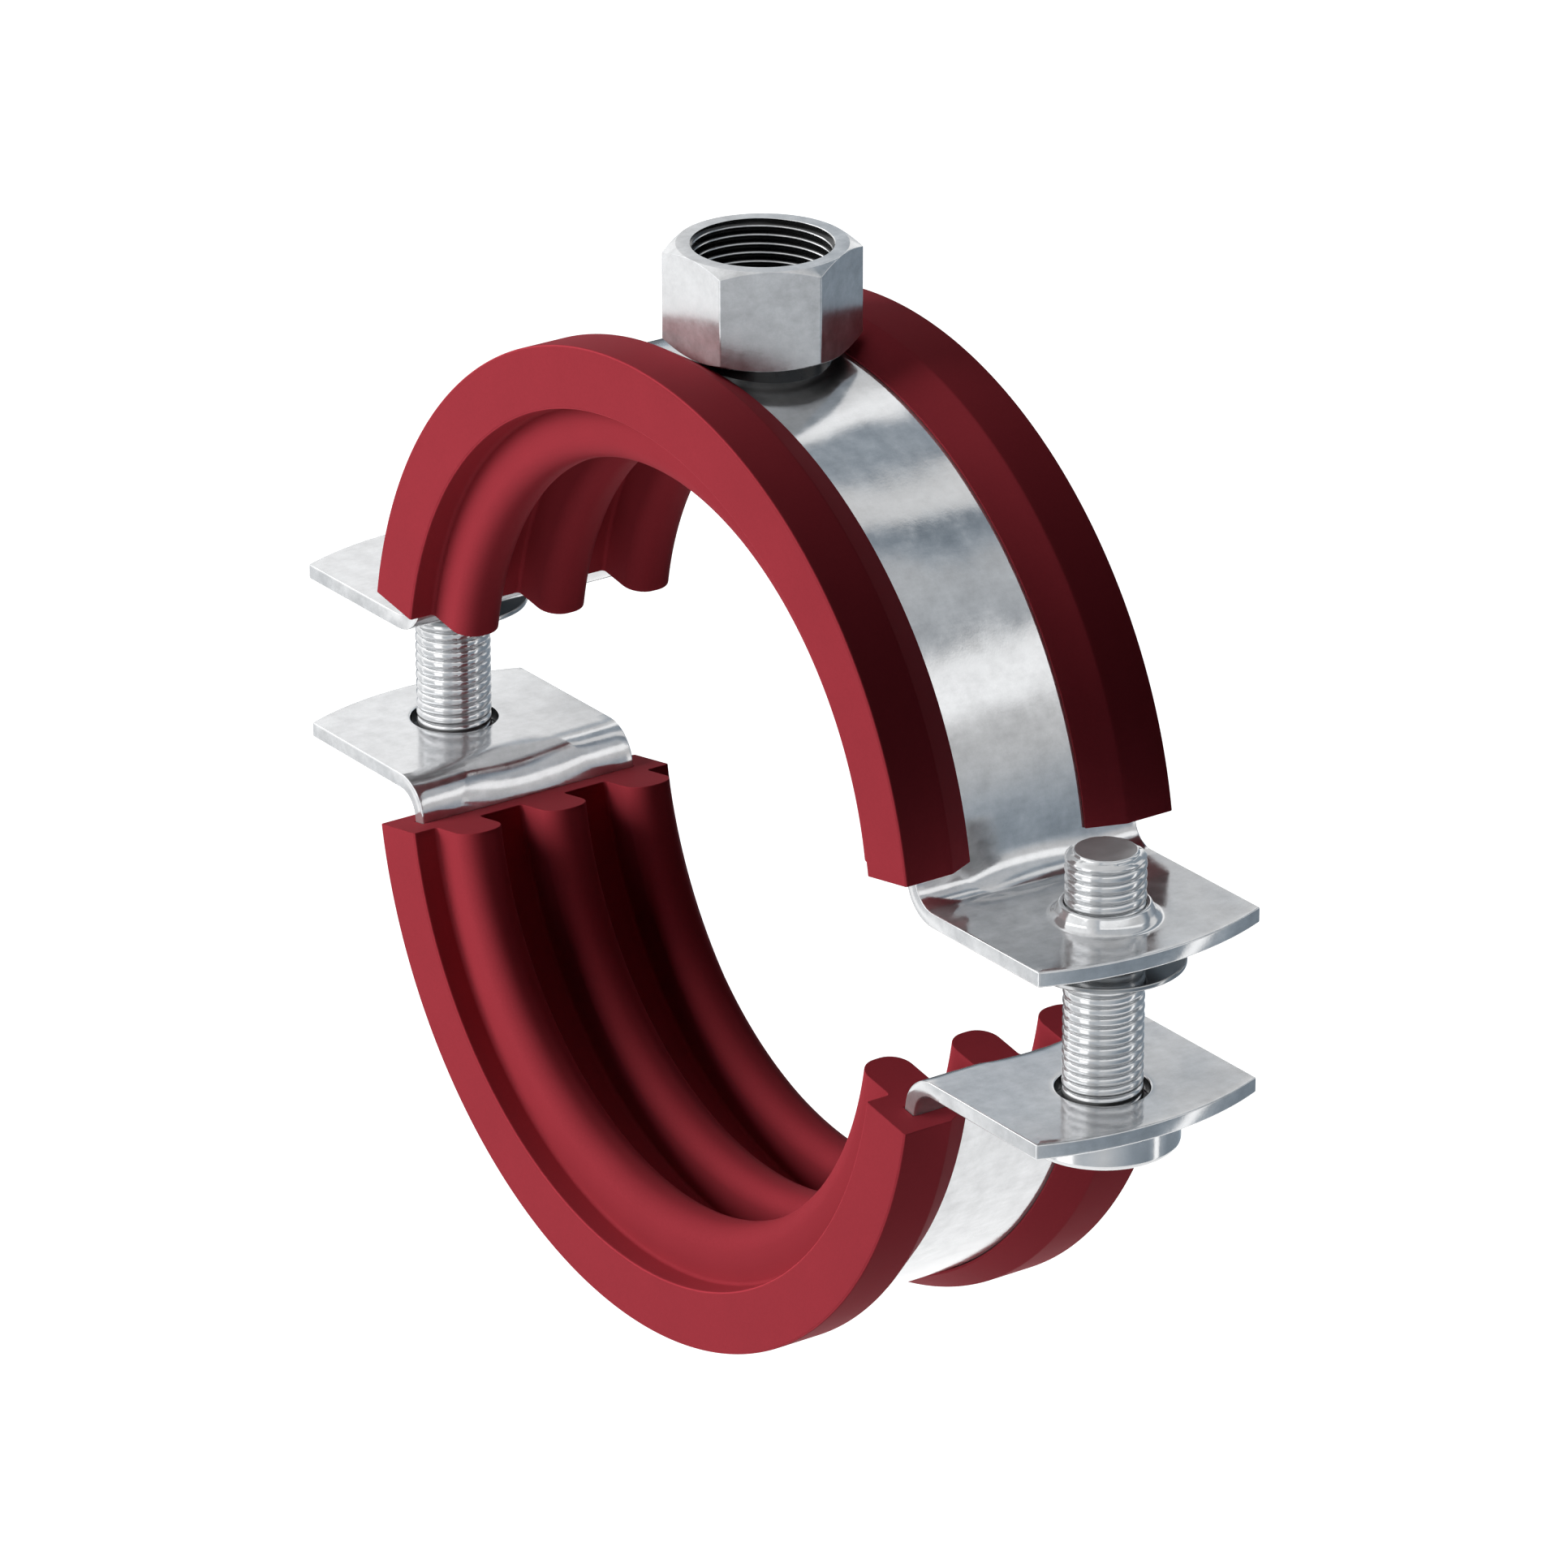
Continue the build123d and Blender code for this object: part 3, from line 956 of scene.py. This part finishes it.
# The tip: how much wider than its flat the taper starts, and the height and width of its rounded nose
TAPER_START = 0.12 * MM
NOSE_HEIGHT = 0.25 * MM
NOSE_WIDTH = 0.2 * MM
# How far the recess's cutters stand out under the head
CUTTER_REACH = 1.0 * MM
WASHER_ROUND_STEPS = 5


def screw_shell(sizes):
    """Rolled thread on a cheese-headed screw about the Z axis, its head down."""
    shell = Shell()
    radius = sizes.diameter / 2
    tip = sizes.tip / 2
    rows = []
    for i in range(SCREW_STEPS + 1):
        bearing = 2 * pi * i / SCREW_STEPS
        thread = []
        for height, off_crest in thread_run(bearing, sizes.pitch, 0.0, sizes.shank, SCREW_ROWS, 1):
            below_tip = sizes.shank - height
            depth = sizes.depth * (1 - sqrt(1 - off_crest**2))
            reach = min(radius - depth, tip + TAPER_START + below_tip * (radius - tip) / sizes.tip_height)
            if below_tip < NOSE_HEIGHT:
                reach = min(reach, tip + sqrt(1 - (1 - below_tip / NOSE_HEIGHT) ** 2) * NOSE_WIDTH)
            # The rows cut off at the head share one radius, or the mesh wouldn't be closed there
            if height == 0.0:
                reach = radius - sizes.depth
            thread.append((reach, height))
        head = rounded_path([
            (tip, -sizes.head_height, 0),
            (sizes.head / 2, -sizes.head_height, sizes.head_round),
            (sizes.head / 2, 0.0, SEAT_ROUND),
            (thread[0][0], 0.0, 0),
        ], HEAD_STEPS)
        rows.append([(r * cos(bearing), r * sin(bearing), z - sizes.seat) for r, z in head + thread])
    shell.grid(rows)
    shell.cap([row[-1] for row in rows[:-1]])
    shell.cap([row[0] for row in rows[:-1]])
    return shell


def cut_recess(data, sizes):
    """The screw's mesh with its slot and its cross recess cut, the temporary objects removed again."""
    body = add_object("Uncut screw", data)
    cutters = []
    for wide, across_y, deep in (
        (sizes.slot_span, sizes.slot_width, sizes.slot_depth),
        (sizes.cross_span, sizes.cross_width, sizes.cross_depth),
        (sizes.cross_width, sizes.cross_span, sizes.cross_depth),
    ):
        middle = Vector((0.0, 0.0, -sizes.seat - sizes.head_height + (deep - CUTTER_REACH) / 2))
        size = Vector((wide, across_y, deep + CUTTER_REACH))
        work = bmesh.new()
        bmesh.ops.create_cube(work, size=1.0, matrix=Matrix.LocRotScale(middle, None, size))
        box = bpy.data.meshes.new("Recess")
        work.to_mesh(box)
        work.free()
        cutters.append(add_object("Recess", box))
        modifier = body.modifiers.new("Recess", "BOOLEAN")
        modifier.operation = "DIFFERENCE"
        modifier.solver = "MANIFOLD"
        modifier.object = cutters[-1]
    bpy.context.view_layer.update()
    result = bpy.data.meshes.new_from_object(body.evaluated_get(bpy.context.evaluated_depsgraph_get()))
    if len(result.vertices) <= len(data.vertices):
        raise RuntimeError("the drive recess was not cut")
    for thing in (body, *cutters):
        bpy.data.objects.remove(thing)
    return smoothed(result)


def washer_shell(sizes, x):
    """A thin ring with eased edges."""
    shell = Shell()
    top = sizes.bottom + sizes.thickness
    section = rounded_path([
        (sizes.bore / 2, sizes.bottom, sizes.edge_round),
        (sizes.diameter / 2, sizes.bottom, sizes.edge_round),
        (sizes.diameter / 2, top, sizes.edge_round),
        (sizes.bore / 2, top, sizes.edge_round),
    ], WASHER_ROUND_STEPS, closed=True)
    bearings = [2 * pi * i / SCREW_STEPS for i in range(SCREW_STEPS)]
    rows = [[(x + r * cos(b), r * sin(b), z) for r, z in section] for b in bearings]
    shell.grid(rows, round_rows=True, round_columns=True)
    return shell


# Stage

# The light tent's brightness by azimuth in degrees, low down and high up
LOW_WALL = (
    (-180, 1.1), (-152, 0.8), (-148, 0.95), (-146, 1.5), (-142, 1.5), (-138, 0.85), (-125, 0.8),
    (-102, 0.8), (-96, 2.2), (-76, 2.2), (-70, 0.8), (-58, 0.65), (-30, 0.82), (-6, 0.6), (8, 0.42),
    (30, 0.36), (39, 0.6), (41, 1.9), (47, 1.9), (50, 0.6), (66, 0.36), (100, 0.36), (120, 0.44),
    (126, 1.0), (132, 0.8), (140, 0.08), (168, 0.08), (180, 1.1),
)
HIGH_WALL = (
    (-180, 1.35), (-75, 1.3), (-45, 0.6), (54, 0.8), (62, 0.42), (71, 0.3), (76, 1.2), (90, 1.2),
    (96, 0.45), (117, 0.45), (121, 1.6), (128, 1.55), (131, 1.0), (136, 0.9), (141, 0.6), (145, 0.72),
    (147, 1.0), (150, 1.3), (180, 1.35),
)
# Its brightness by elevation from the camera's side round to the right, high up
FRONT_WALL = ((-35, 0.7), (8, 0.85), (21, 0.95), (25, 1.7), (35, 1.7), (38.5, 0.72), (49, 0.8), (90, 0.8))
FRONT_ENDS = (-45, 54)
# The elevations between which the low wall gives way to the high one, and that one to the canopy
WALL_RISE = (-8, 16)
CANOPY_RISE = (56, 68)
CANOPY = 0.95
# A strip light in the tent: its ends in azimuth, its edges in elevation, and its brightness
STRIP = (-165, -75, 26, 38, 3.5)
# How much a dark panel leans to blue, and the brightness between which that lean fades
TENT_COOLNESS = 0.18
COOL_FADE = (0.25, 1.0)
TENT_COLUMNS = 180
TENT_ROWS = 60
TENT_FOOT = -35
FLOOR_HALF = 6.0
FLOOR_STEPS = 24
FLOOR_COLOUR = (0.8, 0.8, 0.8, 1.0)
FLOOR_ROUGHNESS = 0.9
WHITE = (1.0, 1.0, 1.0, 1.0)
# Each lamp's azimuth and elevation in degrees, its distance and its side
LAMPS = {
    "Key": (-117, 17, 500 * MM, 320 * MM),
    "Fill": (-60, -45, 550 * MM, 350 * MM),
    "Top": (-160, 72, 1300 * MM, 1100 * MM),
}
# The middle of the view: how far right and up in the picture, and at what height in the clamp
AIM_RIGHT = 1.588 * MM
AIM_UP = 0.93 * MM
AIM_HEIGHT = -1.984 * MM
SENSOR_WIDTH = 36.0


def along(wall, angle):
    """The wall's brightness at an angle, between its neighbouring entries."""
    for (start, before), (end, after) in zip(wall, wall[1:]):
        if angle <= end:
            return before + (after - before) * (angle - start) / (end - start)
    return wall[-1][1]


def rise_between(value, start, end):
    """0 up to start, 1 from end on and a smooth rise between them."""
    share_along = max(0.0, min(1.0, (value - start) / (end - start)))
    return share_along * share_along * (3 - 2 * share_along)


def tent_colour(point):
    """The tent's colour where a point of it lies: neutral where bright, cool where dark."""
    azimuth = degrees(atan2(point.y, point.x))
    elevation = degrees(asin(max(-1.0, min(1.0, point.z / point.length))))
    low = along(LOW_WALL, azimuth)
    high = along(HIGH_WALL, azimuth)
    if FRONT_ENDS[0] <= azimuth <= FRONT_ENDS[1]:
        high = along(FRONT_WALL, elevation)
    level = low + (high - low) * rise_between(elevation, *WALL_RISE)
    level += (CANOPY - level) * rise_between(elevation, *CANOPY_RISE)
    first, last, lower, upper, bright = STRIP
    if first <= azimuth <= last and lower <= elevation <= upper:
        level = bright
    cool = TENT_COOLNESS * (1 - rise_between(level, *COOL_FADE))
    return (level * (1 - cool), level, level * (1 + cool), 1.0)


def light_tent(radius):
    """Soft light and dark panels round the clamp that only show in reflections."""
    shell = Shell()
    columns = []
    for i in range(TENT_COLUMNS):
        azimuth = 2 * pi * i / TENT_COLUMNS - pi
        rises = [radians(TENT_FOOT + (90 - TENT_FOOT) * j / (TENT_ROWS - 1)) for j in range(TENT_ROWS)]
        columns.append([[radius * part for part in direction(azimuth, rise)] for rise in rises])
    shell.grid(columns, round_rows=True)
    data = shell.mesh("Light tent")
    glow = data.color_attributes.new("Glow", "FLOAT_COLOR", "POINT")
    for vertex in data.vertices:
        glow.data[vertex.index].color = tent_colour(vertex.co)
    material, graph = new_material("Light tent")
    material.cycles.emission_sampling = "NONE"
    graph.nodes.remove(graph.nodes["Principled BSDF"])
    brightness = graph.nodes.new("ShaderNodeAttribute")
    brightness.attribute_name = "Glow"
    light = graph.fill(graph.nodes.new("ShaderNodeEmission"), {"Color": brightness.outputs["Color"]})
    graph.fill(graph.nodes["Material Output"], {"Surface": light["Emission"]})
    data.materials.append(material)
    tent = add_object("Light tent", data)
    tent.visible_camera = False
    tent.visible_diffuse = False
    tent.visible_shadow = False
    tent.visible_transmission = False


def where_seen(graph):
    """1 for camera, glossy and transmission rays, else 0."""
    path = graph.nodes.new("ShaderNodeLightPath").outputs
    seen = graph.maths("MAXIMUM", path["Is Camera Ray"], path["Is Glossy Ray"])
    return graph.maths("MAXIMUM", seen, path["Is Transmission Ray"])


def studio_world(ambient):
    """White where it is seen, dimmer as a light."""
    world = bpy.data.worlds.new("Studio")
    world.use_nodes = True
    graph = Graph(world.node_tree)
    strength = graph.maths("MAXIMUM", where_seen(graph), ambient)
    graph.fill(graph.nodes["Background"], {"Color": WHITE, "Strength": strength})
    bpy.context.scene.world = world


def studio_floor(drop, glow):
    """A wide pale floor that carries shadows and looks white."""
    shell = Shell()
    places = [-FLOOR_HALF + 2 * FLOOR_HALF * i / FLOOR_STEPS for i in range(FLOOR_STEPS + 1)]
    shell.grid([[(x, y, -drop) for y in places] for x in places])
    material, graph = new_material("Pale floor")
    path = graph.nodes.new("ShaderNodeLightPath").outputs
    mirrored = graph.maths("MULTIPLY", where_seen(graph), glow)
    graph.fill(graph.nodes["Principled BSDF"], {
        "Base Color": FLOOR_COLOUR,
        "Roughness": FLOOR_ROUGHNESS,
        "Specular IOR Level": 0.0,
        "Emission Color": WHITE,
        "Emission Strength": graph.maths("MAXIMUM", path["Is Camera Ray"], mirrored),
    })
    ground = add_object("Floor", shell.mesh("Floor"))
    ground.data.materials.append(material)


def area_lamp(name, power):
    """A soft square lamp that faces the clamp; the tent takes its place in reflections."""
    azimuth, elevation, distance, side = LAMPS[name]
    data = bpy.data.lights.new(name, "AREA")
    data.shape = "SQUARE"
    data.size = side
    data.energy = power
    lamp = add_object(name, data)
    lamp.location = Vector(direction(radians(azimuth), radians(elevation))) * distance
    lamp.rotation_euler = (-lamp.location).to_track_quat("-Z", "Y").to_euler()
    lamp.visible_glossy = False


def studio_camera(studio):
    """The camera at the photograph's angle."""
    back = Vector(direction(studio.azimuth - pi / 2, studio.elevation))
    right = Vector(direction(studio.azimuth, 0.0))
    up = back.cross(right)
    aim = right * AIM_RIGHT + up * AIM_UP + Vector((0.0, 0.0, AIM_HEIGHT))
    data = bpy.data.cameras.new("Camera")
    data.sensor_width = SENSOR_WIDTH
    data.lens = studio.lens
    data.clip_start = 10 * MM
    camera = add_object("Camera", data)
    camera.matrix_world = Matrix.Translation(aim + back * studio.distance) @ Matrix(
        (right, up, back)
    ).transposed().to_4x4()
    bpy.context.scene.camera = camera


# Operators


class CLAMP_OT_stage(bpy.types.Operator):
    """Set the camera, the lamps, the floor and the light tent"""

    bl_idname = "pipe_clamp.build_stage"
    bl_label = "Stage"

    def execute(self, context):
        studio = context.scene.clamp_studio
        context.scene.view_settings.view_transform = "Standard"
        studio_camera(studio)
        studio_world(studio.ambient)
        studio_floor(studio.floor_drop, studio.floor_glow)
        area_lamp("Key", studio.key_power)
        area_lamp("Fill", studio.fill_power)
        area_lamp("Top", studio.top_power)
        light_tent(studio.tent_radius)
        return {"FINISHED"}


class CLAMP_OT_straps(bpy.types.Operator):
    """Build the upper and lower half straps"""

    bl_idname = "pipe_clamp.build_straps"
    bl_label = "Straps"

    def execute(self, context):
        sizes = context.scene.clamp_strap
        plating = {
            "Clouds": 0.9,
            "Cloud Scale": 0.6,
            "Roughness": context.scene.clamp_finish.strap_roughness,
            "Roughness Spread": 0.4,
            "Waviness": 40.0,
        }
        # Painted shade: the lower lugs' screw holes are darkened in the strap's colour
        bores = {
            "Axis": SCREW_X / MM,
            "Crest Radius": WHOLE_BORE,
            "Outside Radius": sizes.pass_hole / 2 / MM + BORE_MARGIN,
            "Top": 0.0,
            "Bottom": -BEYOND,
            "Foot": -BEYOND,
        }
        finish = steel("Strap zinc", plating, bump_depth=0.007, bores=bores)
        upper = strap_shell(sizes, collar_path(sizes), keep)
        dress("upper_strap", upper, "upper_band", "upper_half", finish)
        lower = strap_shell(sizes, hole_path(sizes), flip)
        dress("lower_strap", lower, "lower_band", "lower_half", finish)
        return {"FINISHED"}


class CLAMP_OT_inserts(bpy.types.Operator):
    """Build the upper and lower silicone inserts"""

    bl_idname = "pipe_clamp.build_inserts"
    bl_label = "Silicone inserts"

    def execute(self, context):
        sizes = context.scene.clamp_insert
        finish = silicone()
        dress("upper_silicone", insert_shell(sizes, keep), "upper_insert", "upper_half", finish)
        dress("lower_silicone", insert_shell(sizes, flip), "lower_insert", "lower_half", finish)
        return {"FINISHED"}


class CLAMP_OT_nut(bpy.types.Operator):
    """Build the welded connection nut"""

    bl_idname = "pipe_clamp.build_nut"
    bl_label = "Connection nut"

    def execute(self, context):
        sizes = context.scene.clamp_nut
        plating = {
            "Clouds": 1.2,
            "Cloud Scale": 0.7,
            "Roughness": context.scene.clamp_finish.nut_roughness,
            "Roughness Spread": 0.4,
        }
        # Painted shade: the thread's valleys and the weld collar under the nut are darkened in the nut's
        # colour
        bores = {
            "Crest Radius": sizes.bore / 2 / MM,
            "Outside Radius": (sizes.bore / 2 + sizes.thread_depth) / MM + VALLEY_MARGIN,
            "Top": (sizes.foot + sizes.height) / MM - MOUTH_MARGIN,
            "Bottom": (sizes.foot + sizes.floor) / MM,
            "Foot": sizes.foot / MM + FACE_MARGIN,
        }
        finish = steel("Nut zinc", plating, bump_depth=0.006, bores=bores)
        dress("hexagon_nut", nut_shell(sizes), "connection_nut", "upper_half", finish)
        return {"FINISHED"}


class CLAMP_OT_screws(bpy.types.Operator):
    """Build the two clamping screws"""

    bl_idname = "pipe_clamp.build_screws"
    bl_label = "Clamping screws"

    def execute(self, context):
        sizes = context.scene.clamp_screw
        plating = {
            "Clouds": 0.3,
            "Cloud Scale": 0.8,
            "Roughness": context.scene.clamp_finish.screw_roughness,
            "Roughness Spread": 0.2,
            "Cut Height": (sizes.shank - sizes.seat) / MM - FACE_MARGIN,
        }
        finish = steel("Screw zinc", plating, bump_depth=0.005)
        centred = cut_recess(screw_shell(sizes).mesh("Screw"), sizes)
        for side, x in SIDES:
            data = centred.copy()
            data.name = side + "_clamping_screw"
            data.transform(Matrix.Translation((x, 0.0, 0.0)))
            dress(data.name, data, side + "_screw", side + "_screw", finish)
        return {"FINISHED"}


class CLAMP_OT_washers(bpy.types.Operator):
    """Build the two captive washers"""

    bl_idname = "pipe_clamp.build_washers"
    bl_label = "Washers"

    def execute(self, context):
        sizes = context.scene.clamp_washer
        plating = {"Clouds": 0.3, "Cloud Scale": 0.8, "Roughness": 0.1, "Roughness Spread": 0.1}
        # Painted shade: the washers' zinc is darkened to 0.45 of its colour for the shade in the gap under
        # each lug
        finish = steel("Washer zinc with painted shade", plating, bump_depth=0.002, metallic=1.0, tone=0.45)
        for side, x in SIDES:
            name = side + "_captive_washer"
            dress(name, washer_shell(sizes, x), side + "_washer", side + "_washer", finish)
        return {"FINISHED"}


class CLAMP_PT_build(bpy.types.Panel):
    """Lists the clamp's operators and sizes"""

    bl_idname = "CLAMP_PT_build"
    bl_label = "Pipe clamp"
    bl_space_type = "VIEW_3D"
    bl_region_type = "UI"
    bl_category = "Clamp"

    def draw(self, context):
        for operator in OPERATORS:
            self.layout.operator(operator.bl_idname)
        for name in SETTINGS:
            group = getattr(context.scene, name)
            box = self.layout.box()
            for prop in group.bl_rna.properties:
                if prop.identifier not in {"rna_type", "name"}:
                    box.prop(group, prop.identifier)


OPERATORS = (
    CLAMP_OT_stage,
    CLAMP_OT_straps,
    CLAMP_OT_inserts,
    CLAMP_OT_nut,
    CLAMP_OT_screws,
    CLAMP_OT_washers,
)

SETTINGS = {
    "clamp_strap": StrapSizes,
    "clamp_insert": InsertSizes,
    "clamp_nut": NutSizes,
    "clamp_screw": ScrewSizes,
    "clamp_washer": WasherSizes,
    "clamp_finish": FinishColours,
    "clamp_studio": StudioSettings,
}


def register():
    for group in SETTINGS.values():
        bpy.utils.register_class(group)
    for name, group in SETTINGS.items():
        setattr(bpy.types.Scene, name, PointerProperty(type=group))
    for operator in OPERATORS:
        bpy.utils.register_class(operator)
    bpy.utils.register_class(CLAMP_PT_build)


def unregister():
    bpy.utils.unregister_class(CLAMP_PT_build)
    for operator in reversed(OPERATORS):
        bpy.utils.unregister_class(operator)
    for name, group in SETTINGS.items():
        delattr(bpy.types.Scene, name)
        bpy.utils.unregister_class(group)


def main():
    """Builds everything."""
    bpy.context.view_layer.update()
    register()
    bpy.ops.pipe_clamp.build_stage()
    bpy.ops.pipe_clamp.build_straps()
    bpy.ops.pipe_clamp.build_inserts()
    bpy.ops.pipe_clamp.build_nut()
    bpy.ops.pipe_clamp.build_screws()
    bpy.ops.pipe_clamp.build_washers()


if __name__ == "__main__":
    main()
